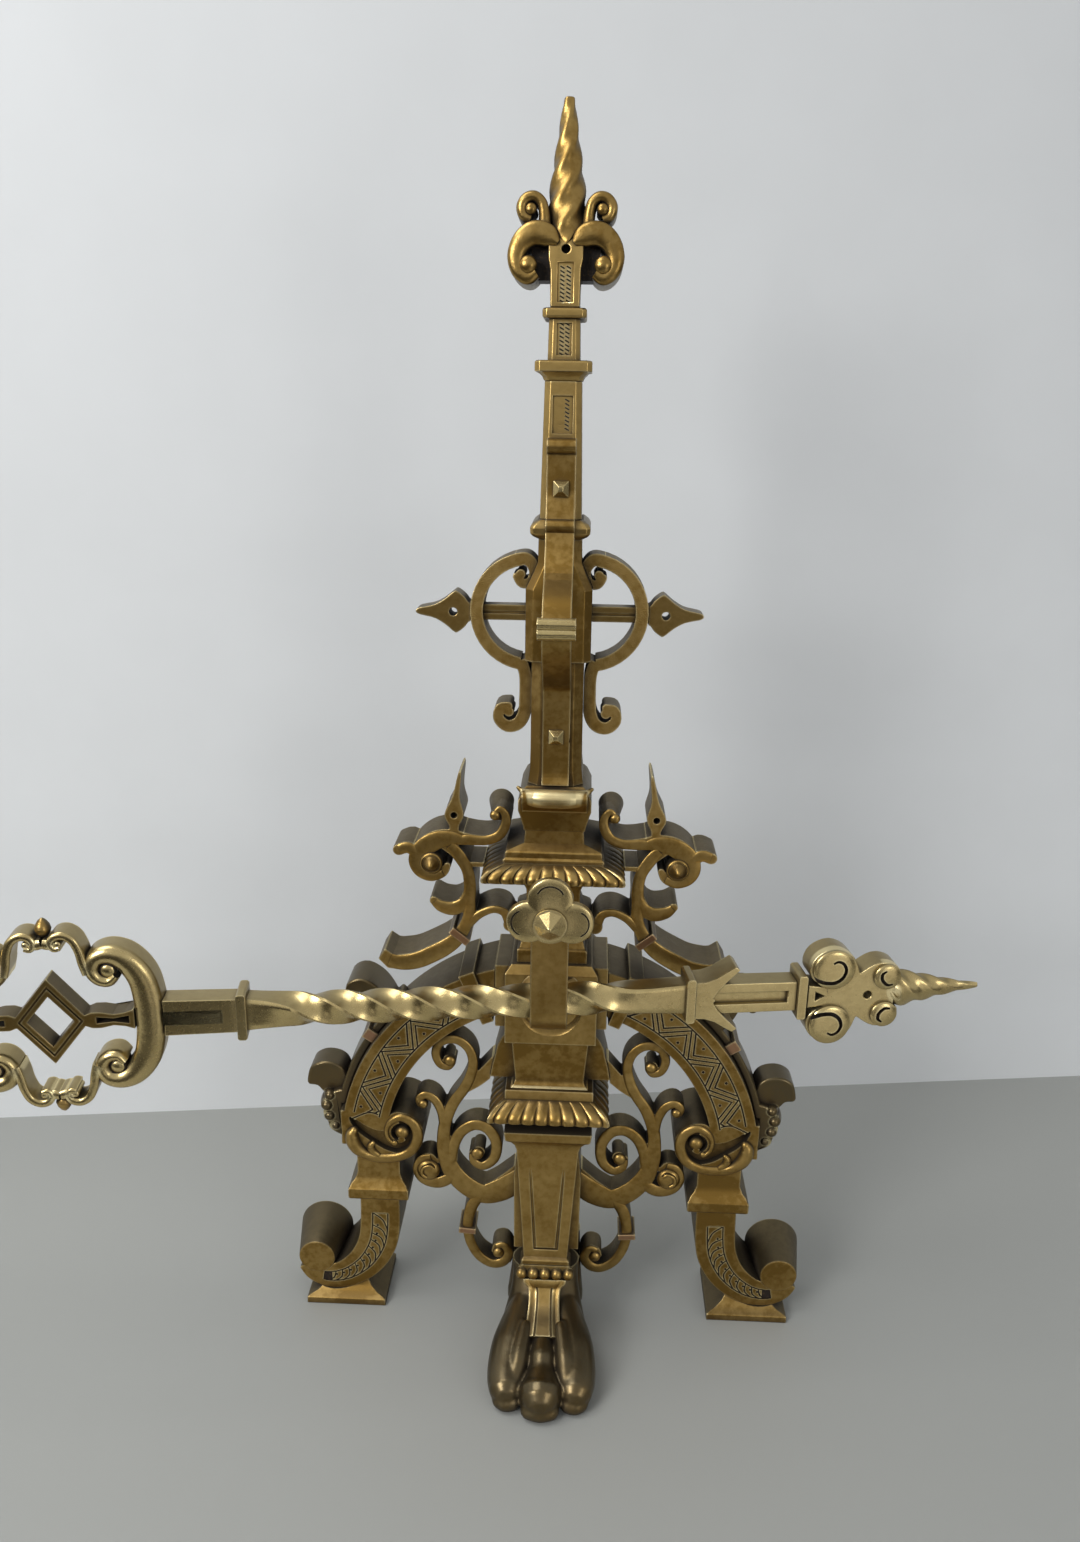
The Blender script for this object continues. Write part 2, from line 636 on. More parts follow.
class ANDIRON_OT_front_leg(PieceOperator, bpy.types.Operator):
    """Lion paw, bead band and pilaster"""

    bl_idname = "andiron.front_leg"
    bl_label = "Front leg"

    def build(self):
        self.paw()
        self.knee()
        self.beads()
        dress("pilaster", aged_brass(), 0.8)

    def paw(self):
        """Middle toe between two long flanks that run up into the ankle, melted into one skin."""
        skin = bmesh.new()
        # ankle and instep
        finger(skin, [(0, -25, 62, 21.4), (0, -25.6, 46, 20.8), (0, -32, 32, 21), (0, -44, 19, 25),
                      (0, -56, 11, 28), (0, -66, 8, 28)], 0.62, 36)
        for s in (-1, 1):
            # outer toe and its pad, the knuckle, the heel
            finger(skin, [(s * 10, -40, 27, 9), (s * 12, -46, 24, 10.4), (s * 14.8, -56, 20.2, 12),
                          (s * 18, -68, 16.4, 12.8), (s * 20, -80, 13, 12.2),
                          (s * 20.4, -88, 11.4, 11.4), (s * 20.2, -91.6, 10.8, 10.8)])
            finger(skin, [(s * 16.6, -97.8, 5.4, 5.4), (s * 20, -98.2, 5.4, 5.6),
                          (s * 23, -97, 5.4, 5.2)])
            finger(skin, [(s * 10.6, -64, 28.6, 4), (s * 12.4, -74, 25, 4.8),
                          (s * 13.6, -82, 21.6, 5.4), (s * 15, -89, 17, 5.4),
                          (s * 17, -95, 12.6, 5)])
            finger(skin, [(s * 9, 5, 62, 13.4), (s * 9.4, 3, 44, 12), (s * 10, -6, 30, 12),
                          (s * 13, -28, 22, 11)])
        # middle toe: long bone, knuckle, ball and pad
        finger(skin, [(0, -60, 24, 5.2), (0, -68, 23.4, 5.6), (0, -75, 22.2, 6.4),
                      (0, -80, 20.6, 7.4), (0, -85, 18.2, 7.2), (0, -90, 15.8, 9.2),
                      (0, -94.6, 13.6, 11.6), (0, -97.6, 12.6, 12.6)])
        finger(skin, [(-6, -103.4, 5.6, 5.4), (0, -104.6, 5.8, 5.8), (6, -103.4, 5.6, 5.4)])
        skin = melted(moved(skin, ON_UPRIGHT), 0.9 * MM, 3)
        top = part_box("front_paw")[1].z
        cut_off(skin, (0, 0, 0), (0, 0, -1))
        cut_off(skin, (0, 0, top), (0, 0, 1))
        shade(skin, 80)
        finished(skin, "lion_paw", body_of("front_paw"), [dark_brass()], ["front_paw"])

    def knee(self):
        """Fluted panel down the shin, with an incised middle."""
        half = [(0, 2.8), (3.6, 2.8), (3.9, 1.9), (4.5, 1.9), (4.8, 2.8), (5.5, 2.7), (7, 1.8),
                (8.6, 2.5), (9.3, 2.4), (9.7, -4)]
        outline = [(-x, z) for x, z in reversed(half[1:])] + half
        plain = [(x, 2.8 if z == 1.9 else z) for x, z in outline]
        rows = glide([(-45, 47.2, 1.4), (-45.6, 45.6, 1.36), (-45.8, 44, 1.2), (-46.2, 41.6, 1.06),
                      (-48.6, 38, 1), (-53, 34, 1), (-59, 31, 1.04), (-65, 28.8, 1.1),
                      (-71, 26.2, 1.2)], 3)
        places = []
        for i, (y, z, wide) in enumerate(rows):
            after, before = rows[min(i + 1, len(rows) - 1)], rows[max(i - 1, 0)]
            slope = math.atan2(after[1] - before[1], after[0] - before[0])
            out = Vector((0, math.sin(slope), -math.cos(slope)))
            out = -out if out.y > 0 else out
            across = Vector((1, 0, 0))
            along = across.cross(out)
            turn = Matrix((across, out, along)).transposed().to_4x4()
            places.append(Matrix.Translation(UPRIGHT + Vector((0, y, z)) * MM) @ turn
                          @ Matrix.Diagonal((wide * MM, MM, 1, 1)))
        rings = sections(plain, places[:8]) + sections(outline, places[8:])
        panel = bmesh.new()
        pulled(panel, circle_face(panel, len(outline)), rings)
        outward(panel)
        shade(panel, 30)
        finished(panel, "knee_panel", body_of("front_paw"), [aged_brass()])

    def beads(self):
        """Row of five beads on their band."""
        low, high = (corner.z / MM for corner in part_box("bead_band"))
        rows = [(low, 14.5, -45), (low + 1.2, 15.5, -45.6), (high - 2.2, 15.5, -45.6),
                (high - 1, 14.5, -45.4), (high, 14.5, -45.4)]
        band = bmesh.new()
        pulled(band, circle_face(band, 4),
               [[Vector((x, y, z)) * MM
                 for x, y in ((-wide, -31), (wide, -31), (wide, front), (-wide, front))]
                for z, wide, front in rows])
        outward(band)
        soften(band, 0.5 * sizes().edge)
        for i in range(-2, 3):
            bmesh.ops.create_uvsphere(band, u_segments=28, v_segments=16, radius=MM, matrix=(
                Matrix.Translation(Vector((i * 7.2, -46, low + 5)) * MM)
                @ Matrix.Diagonal((3.5, 3.8, 3.8, 1))))
        shade(band, 40)
        finished(moved(band, ON_UPRIGHT), "beads", body_of("bead_band"),
                 [aged_brass()], ["bead_band"])


class ANDIRON_OT_capitals(PieceOperator, bpy.types.Operator):
    """Gadrooned capitals, pedestals, neck and block"""

    bl_idname = "andiron.capitals"
    bl_label = "Capitals and pedestals"

    def build(self):
        for node in ("pedestal_lower", "pedestal_upper", "plinth_neck"):
            dress(node, tarnished_brass(), 0.8)
        dish = bmesh.new()
        bmesh.ops.create_uvsphere(dish, u_segments=64, v_segments=32, radius=MM, matrix=(
            Matrix.Translation(UPRIGHT + Vector((0, -27, 222.6)) * MM)
            @ Matrix.Diagonal((18.4, 2.4, 18.4, 1))))
        bm = casting("arch_block")
        soften(bm, sizes().edge * 0.8)
        bm = carved(bm, dish)
        for face in bm.faces:
            face.material_index = 0
        shade(bm, 30)
        finished(bm, "arch_block_cast", body_of("arch_block"), [aged_brass()], ["arch_block"])
        # rows of height, half width, half depth and swell of the gadroons, in millimetres
        self.gadroons("gadroon_lower", 9, 9, [
            (0, 23, 25, 0), (1.5, 23.4, 25.4, 0), (3.2, 25, 27, 0), (4.8, 28, 30, 0),
            (4.9, 34.6, 36, 0.4), (5.6, 36.2, 37.6, 1.7), (7, 36.5, 38, 2), (9, 36, 37.5, 2),
            (11.4, 34.4, 36, 1.9), (13.6, 32, 33.6, 1.6), (15.4, 29.4, 31, 1.1),
            (16.6, 27.6, 29.2, 0.2), (16.8, 26.4, 28, 0), (22, 26.4, 28, 0), (22.8, 26, 27.6, 0)])
        self.gadroons("gadroon_upper", 11, 9, [
            (0, 38.6, 34.6, 0.5), (0.5, 40, 35.5, 1.6), (2, 40.5, 36, 2), (4, 40, 35.5, 2),
            (6, 38, 34.2, 1.8), (7.6, 35.4, 32.6, 1.5), (9, 31.6, 30, 0.8), (9.6, 29, 28.4, 0.2),
            (9.8, 28.2, 27.8, 0), (10.2, 28.2, 27.8, 0)])

    def gadroons(self, node, across, deep, rows):
        """Reeds side by side round a spreading moulding, with a deep crease between each two."""
        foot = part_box(node)[0].z
        steps = 10
        rings = []
        for height, wide, far, swell in rows:
            corners = [(-wide, -far), (wide, -far), (wide, far), (-wide, far)]
            ring = []
            for side, count in enumerate((across, deep, across, deep)):
                a, b = Vector(corners[side]), Vector(corners[(side + 1) % 4])
                out = Vector((b - a).normalized().yx) * Vector((1, -1))
                corner_out = (out + Vector((out.y, -out.x))).normalized()
                for k in range(count * steps):
                    phase = (k / steps + 0.5) % 1
                    dip = swell * (1 - math.sqrt(max(0, 1 - (2 * phase - 1) ** 2)))
                    spot = a.lerp(b, k / (count * steps))
                    spot -= (corner_out if k == 0 else out) * dip
                    if k == 0:
                        spot -= corner_out * min(swell, 1)
                    ring.append(Vector((spot.x * MM, spot.y * MM + UPRIGHT.y, foot + height * MM)))
            rings.append(ring)
        bm = bmesh.new()
        pulled(bm, circle_face(bm, len(rings[0])), rings)
        outward(bm)
        shade(bm, 38)
        finished(bm, node + "_reeds", body_of(node), [aged_brass()], [node], weighted=False)


class ANDIRON_OT_arches(PieceOperator, bpy.types.Operator):
    """Arch quarters with their volutes, collars, clasps, strips and leaves"""

    bl_idname = "andiron.arches"
    bl_label = "Arch"

    def build(self):
        for side in ("left", "right"):
            dress("arch_" + side, tarnished_brass(), 1.2, front=ARCH_FRONT)
            dress("rim_strip_" + side, dark_brass(), 2.4, segments=4, extra=[self.ripples(side)])
            self.leaf(side)
        dress("arch_collars", tarnished_brass(), 0.8)
        dress("rim_clasps", clip_bronze(), 0.6)

    def ripples(self, side):
        """Folds of the leaf that lies on the rim below the beak."""
        bm = bmesh.new()
        for x, z, size in ((139, 149, 3.4), (141, 142, 3.8), (139.6, 134.6, 3.6), (136, 127.6, 3)):
            finger(bm, [(x - 3, -12, z + 1, size), (x - 1.4, -4, z, size),
                        (x - 1.6, 6, z + 0.4, size * 0.9)], 1.0, 16)
        return on_side(bm, side)

    def leaf(self, side):
        """Acanthus lobes at the foot of the arch, and the band that rolls up round the eye."""
        face = (ARCH_FRONT - UPRIGHT.y) / MM
        bm = bmesh.new()
        sweep(bm, [(121.5, 124, 2.4), (118.6, 117.4, 3.1), (112.4, 112.8, 3.3), (103.6, 111, 3.2),
                   (92.8, 112.4, 3.1), (84.6, 117.4, 3.2), (80.6, 127, 3.3), (82.8, 136.2, 3.1),
                   (90, 140.8, 2.7), (96.6, 138, 2.1), (99.8, 132, 1.6), (99, 126, 1.4),
                   (95.6, 122.4, 1.3)], face - 1.6, face + 5, 1.8)
        boss(bm, 90.4, 128.8, 4.6, face - 0.6, face + 5, 3.6)
        boss(bm, 94.8, 122.8, 1.9, face - 1.8, face + 4, 1.4)
        finger(bm, [(105, face + 0.6, 111.6, 2), (112.4, face + 0.4, 113.6, 3.2),
                    (118, face - 0.2, 118, 4.2), (120.8, face - 0.6, 123.6, 4.4),
                    (121.2, face - 1, 128.4, 3.8), (119.8, face - 1.2, 131.4, 2.6)])
        finger(bm, [(105.6, face + 0.4, 113.4, 2), (108.8, face, 116.4, 2.4),
                    (109.8, face - 0.6, 120, 2.3), (108.2, face - 1, 122.6, 1.5)])
        outward(bm)
        shade(bm, 60)
        finished(on_side(bm, side), "acanthus_" + side, body_of("leaf_" + side), [rolled_brass()],
                 ["leaf_" + side])


class ANDIRON_OT_side_legs(PieceOperator, bpy.types.Operator):
    """Side legs, their caps and foot plates"""

    bl_idname = "andiron.side_legs"
    bl_label = "Side legs"

    def build(self):
        for side in ("left", "right"):
            dress("leg_cap_" + side, tarnished_brass(), 0.8)
            dress("side_leg_" + side, tarnished_brass(), 1.2, front=LEG_FRONT)
            dress("foot_plate_" + side, tarnished_brass(), 0.8)


class ANDIRON_OT_scrolls(PieceOperator, bpy.types.Operator):
    """Upper and lower scrolls with their clips"""

    bl_idname = "andiron.scrolls"
    bl_label = "Scrolls"

    # middle lines of the scrolls as [x, z, half width], and their eyes as [x, z, radius]
    lower = (
        [(16, 97, 6), (23, 89.6, 7.8), (31, 84.2, 8), (41, 81.5, 7), (52, 87.5, 6.6),
         (60.5, 98, 6), (64.5, 110, 5), (65.6, 121, 4.2), (64.4, 133, 3.8), (59.5, 146.5, 3.6),
         (52.6, 157.5, 3.4), (48.6, 167, 3.2), (47, 176, 3), (49, 184.4, 2.9), (54.4, 190.2, 2.9),
         (61.3, 191.6, 2.9), (67.5, 188.4, 2.8), (69.8, 181.4, 2.7), (67.4, 174.4, 2.5),
         (62.6, 172.4, 2.3), (59.6, 175.2, 2)],
        [(65.6, 127, 2), (66.8, 140, 2.7), (70.6, 148.6, 2.9), (76.4, 152, 2.7), (80.3, 149.2, 2.6),
         (79.4, 145, 2.3)],
        [(61, 102, 2.6), (59.4, 116, 3.5), (54.6, 126.4, 3.5), (46.4, 131.8, 3.6), (38, 129.5, 3.6),
         (32.6, 120, 3.5), (33.8, 108.6, 3.3), (40.6, 102.4, 3), (46.6, 105.4, 2.6),
         (47.4, 111.4, 2.3)],
        [(57, 97, 2.4), (63, 91.5, 3.8), (70, 88.6, 4), (78, 91.2, 4), (82, 98, 3.4),
         (79.6, 105.6, 2.8), (74, 107.6, 2.2)],
        [(42, 80, 3), (47.6, 73, 3.8), (50.4, 62, 3.4), (50.6, 53, 3.2), (48.4, 43, 3.2),
         (43, 33.6, 3.2), (35, 28.4, 3.2), (28, 30, 3.3), (24.6, 36.4, 3.2), (27.4, 42.6, 2.6),
         (32.2, 42, 2)])
    lower_eyes = ((61, 177, 3.6), (44.4, 111.6, 4), (78, 145.8, 3), (75.4, 98.4, 7.4),
                  (31, 37.6, 3.6))
    upper = (
        [(56, 320.6, 2.4), (50, 321.4, 3.2), (44, 321.2, 3), (38, 321.6, 2.9), (31.6, 324.6, 2.9),
         (28, 331, 2.8), (28, 337, 2.4), (31.2, 340.6, 1.9), (34, 338, 1.5)],
        [(50, 320.4, 2), (58, 322, 4.2), (67, 320.6, 5.4), (75, 315.4, 5.8), (78.6, 308, 5.2),
         (76.6, 301.6, 4.2), (70.4, 298.4, 3.2), (64, 300.6, 2.4)],
        [(78, 312, 3), (84, 315.6, 3.4), (89, 314.4, 3)],
        [(60, 317.6, 3), (55.4, 312.6, 3.6), (50, 303.4, 3.4), (48.4, 293.4, 3.5), (49, 284.4, 3.7),
         (48.8, 276, 3.5), (50.8, 268.4, 3.7), (55.4, 260.4, 4.2), (61, 254.8, 4.8),
         (69, 249.6, 5.2), (80, 244.2, 5.2), (90, 242.6, 4.8), (96, 244.4, 4)],
        [(49.6, 288, 2.4), (52.2, 282, 3.6), (58, 278.4, 4.2), (65, 279.6, 3.6), (69, 282.6, 2.4)],
        [(49, 269, 2.4), (43, 275, 2.4), (35, 278.6, 2.3), (28.6, 277, 2.5), (26, 272, 2.6)])

    def build(self):
        for side in ("left", "right"):
            bands = bmesh.new()
            for line in self.lower:
                sweep(bands, line, -13.1, -10, 1.1)
            for x, z, wide in self.lower_eyes:
                boss(bands, x, z, wide, -13.4 - wide * 0.3, -10, 1 + wide * 0.3)
            # turn of the spiral on the big outer eye
            sweep(bands, [(71.4, 101.4, 0.8), (74, 103.4, 1), (78.2, 101.6, 1.1), (79, 97.2, 1.2),
                          (76.4, 94.8, 1.1)], -16.6, -12, 1)
            self.dressed("lower_scroll_" + side, bands, side)
            bands = bmesh.new()
            for line in self.upper:
                sweep(bands, line, -13.8, -11, 0.8)
            knob(bands, 70.6, 306.8, [(-10, 6.6), (-14, 6.6), (-14.8, 6.2), (-15, 5.6),
                                      (-14.2, 5), (-14.4, 4.4), (-16.4, 3.4), (-18, 2.2),
                                      (-18.8, 1.6), (-19.6, 0.9), (-19.8, 0.2)])
            boss(bands, 34, 336.8, 2.9, -15, -11, 1.6)
            self.dressed("upper_scroll_" + side, bands, side)
        self.clips()

    def dressed(self, node, bands, side):
        """The cast scroll with rounded bands laid over its face."""
        bands = on_side(outward(bands), side)
        shade(bands, 50)
        finished(bands, node + "_bands", body_of(node), [rolled_brass()])
        dress(node, chased_brass(), 0.8)

    def clips(self):
        """Clips that grip the scrolls, across the upper one's tail and the lower one's leg."""
        bm = bmesh.new()
        for side in (1, -1):
            for x, z, turn, wide, high, front, back in ((54.4, 261.4, -39, 13, 4.6, -15.4, 15),
                                                        (50.8, 54.6, -4, 11, 4, -14.6, 4)):
                made = bmesh.ops.create_cube(bm, size=1)["verts"]
                middle = Vector((side * x, (front + back) / 2, z)) * MM
                place = (Matrix.Translation(UPRIGHT + middle)
                         @ Matrix.Rotation(math.radians(side * turn), 4, "Y")
                         @ Matrix.Diagonal((wide * MM, (back - front) * MM, high * MM, 1)))
                bmesh.ops.transform(bm, matrix=place, verts=made)
        soften(bm, sizes().edge * 0.8, 28, 3)
        shade(bm, 30)
        finished(bm, "clips", body_of("scroll_clips"), [clip_bronze()], ["scroll_clips"])


class ANDIRON_OT_upright(PieceOperator, bpy.types.Operator):
    """Shafts, casing, collars, finial and the rod that holds them"""

    bl_idname = "andiron.upright"
    bl_label = "Upright"

    def build(self):
        for node in ("collar_mid", "collar_upper", "collar_top"):
            dress(node, polished_brass(), 0.7)
        dress("shaft_lower", tarnished_brass(), 0.7)
        dress("casing", tarnished_brass(), 0.7)
        dress("shaft_upper", polished_brass(), 0.7, cutter=self.ticks([(2.2, 547, 561, -16.2)]))
        dress("shaft_top", polished_brass(), 0.7,
              cutter=self.ticks([(-1.3, 583, 597, -14.1), (1.5, 583, 597, -14.1)]))
        self.finial()
        dress("tie_rod", wrought_iron(), 0.0)

    def ticks(self, columns):
        """Short slanting chisel cuts, one above another, in the sunk panels."""
        cuts = bmesh.new()
        for x, low, high, floor in columns:
            count = round((high - low) / 2)
            for k in range(count + 1):
                z = low + (high - low) * k / count
                made = bmesh.ops.create_cube(cuts, size=1)["verts"]
                place = (Matrix.Translation(UPRIGHT + Vector((x, floor, z)) * MM)
                         @ Matrix.Rotation(math.radians(28), 4, "Y")
                         @ Matrix.Diagonal((2.5 * MM, 1.4 * MM, 0.75 * MM, 1)))
                bmesh.ops.transform(cuts, matrix=place, verts=made)
        return cuts

    def finial(self):
        """The cast shank, and its volutes, hooks and twisted spike drawn anew."""
        bm = casting("finial")
        for place, way in (((0, 0, 641), (0, 0, 1)), ((8.6, 0, 0), (1, 0, 0)),
                           ((-8.6, 0, 0), (-1, 0, 0))):
            cut_off(bm, UPRIGHT + Vector(place) * MM, way)
        soften(bm, sizes().edge * 1.4, 28, 3)
        bm = carved(bm, self.ticks([(-1.5, 607.5, 623, -14.1), (1.6, 607.5, 623, -14.1)]))
        shade(bm, 40)
        finished(bm, "finial_shank", body_of("finial"), [polished_brass(), crust()], ["finial"])
        scrolls = bmesh.new()
        for flip in (1, -1):
            for line, front, back in (
                    ([(4, 634, 1.8), (7.8, 636.6, 4.8), (12.4, 638.4, 5.6), (17.4, 637.8, 5.5),
                      (22, 634, 4.9), (24.4, 627.8, 4.3), (23, 621.6, 3.9), (18.6, 618.4, 3.6),
                      (14.6, 620.6, 2.8)], -16.4, 14.6),
                    ([(9, 638, 3), (10.6, 642.6, 3), (11, 647.6, 2.7), (12.2, 652.4, 2.5),
                      (15.6, 655.2, 2.5), (19.6, 654.4, 2.6), (22, 650.8, 2.7), (21, 646.6, 2.6),
                      (17.6, 645, 2.2)], -12, 9)):
                sweep(scrolls, [(flip * x, z, wide) for x, z, wide in line], front, back, 2.4)
            boss(scrolls, flip * 18.4, 624, 4.4, -17.8, 13, 2.6)
            boss(scrolls, flip * 17.4, 649.4, 2.8, -13, 8, 1.8)
        outward(scrolls)
        moved(scrolls, ON_UPRIGHT)
        # dark ground left between the volutes and the shank
        ground = bmesh.new()
        bmesh.ops.create_cube(ground, size=1, matrix=(
            Matrix.Translation(UPRIGHT + Vector((0, 1, 626)) * MM)
            @ Matrix.Diagonal((34 * MM, 18 * MM, 17 * MM, 1))))
        for face in ground.faces:
            face.material_index = 1
        rows = [(633.6, 1.4, -13), (636, 4.6, -10.4), (640, 8.4, -6.6), (645, 10.6, -3.6),
                (651, 10.9, -1.6), (658, 10, -0.6), (668, 8.5, 0), (678, 6.7, 0), (688, 5, 0),
                (696, 3.6, 0), (699.2, 3, 0), (700, 2.2, 0)]
        bm = joined([scrolls, ground, twisted_spike(rows, ON_UPRIGHT, 6.2, 3.6)])
        shade(bm, 50)
        finished(bm, "finial_scrolls", body_of("finial"), [clean_brass(), crust()])


class ANDIRON_OT_rings(PieceOperator, bpy.types.Operator):
    """Half rings and spears beside the casing"""

    bl_idname = "andiron.rings"
    bl_label = "Rings and spears"

    def build(self):
        for side in ("left", "right"):
            dress("ring_" + side, chased_brass(), 0.6)
            dress("spear_" + side, aged_brass(), 0.6)


class ANDIRON_OT_strap(PieceOperator, bpy.types.Operator):
    """Bowed strap on the upright, its ferrule, bolts and apron"""

    bl_idname = "andiron.strap"
    bl_label = "Strap"

    def build(self):
        dress("front_strap", tarnished_brass(), 0.7)
        dress("strap_ferrule", bright_brass(), 0.4)
        dress("strap_bolts", bright_brass(), 0.5)
        roll = bmesh.new()
        finger(roll, [(-20.4, -24.6, 357.6, 1), (-17.6, -26.6, 356, 1.8), (-14, -28.2, 354, 3.6),
                      (-8, -28.8, 353.2, 4.8), (0, -28.9, 353.2, 5), (8, -28.8, 353.2, 4.8),
                      (14, -28.2, 354, 3.6), (17.6, -26.6, 356, 1.8), (20.4, -24.6, 357.6, 1)])
        dress("strap_apron", tarnished_brass(), 0.7, extra=(moved(roll, ON_UPRIGHT),))


class ANDIRON_OT_hook(PieceOperator, bpy.types.Operator):
    """Hook, its quatrefoil head and stud"""

    bl_idname = "andiron.hook"
    bl_label = "Hook"

    def build(self):
        dress("hook", aged_brass(), 0.9)
        self.head()
        dress("hook_stud", bright_brass(), 0.6)

    def head(self):
        """Gently domed quatrefoil with a cut ring on each petal."""
        low, high = ((corner.y - UPRIGHT.y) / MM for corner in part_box("hook_head"))
        petals = ((-11.5, 0, 11.5), (11.5, 0, 11.5), (0, 13, 12), (0, 0, 12))
        outline = []
        for k in range(144):
            a = 2 * math.pi * k / 144
            reach = 0
            for x, z, wide in petals:
                ahead = x * math.cos(a) + z * math.sin(a)
                apart = wide ** 2 - x ** 2 - z ** 2 + ahead ** 2
                if apart >= 0:
                    reach = max(reach, ahead + math.sqrt(apart))
            outline.append((reach * math.cos(a), reach * math.sin(a)))
        bm = bmesh.new()
        rows = [(high, 1), (low + 2.2, 1), (low + 1.7, 0.988), (low + 1.4, 0.96), (low + 1.1, 0.9),
                (low + 0.75, 0.8), (low + 0.4, 0.66), (low + 0.12, 0.5), (low + 0.05, 0.3)]
        pulled(bm, circle_face(bm, len(outline)),
               [[Vector((x * wide, y, 300 + z * wide)) * MM for x, z in outline]
                for y, wide in rows])
        outward(bm)
        rings = bmesh.new()
        for x, z, aim in ((-13, 300, 180), (13, 300, 0), (0, 313.6, 90)):
            turn = [math.radians(aim + a) for a in range(-66, 67, 12)]
            sweep(rings, [(x + 7.4 * math.cos(a), z + 7.4 * math.sin(a), 0.42) for a in turn],
                  low - 1, low + 1.5, 0, 2)
        outward(rings)
        bm = moved(carved(bm, rings, "MANIFOLD"), ON_UPRIGHT)
        shade(bm, 40)
        finished(bm, "quatrefoil", body_of("hook_head"), [bright_brass(), crust()], ["hook_head"])


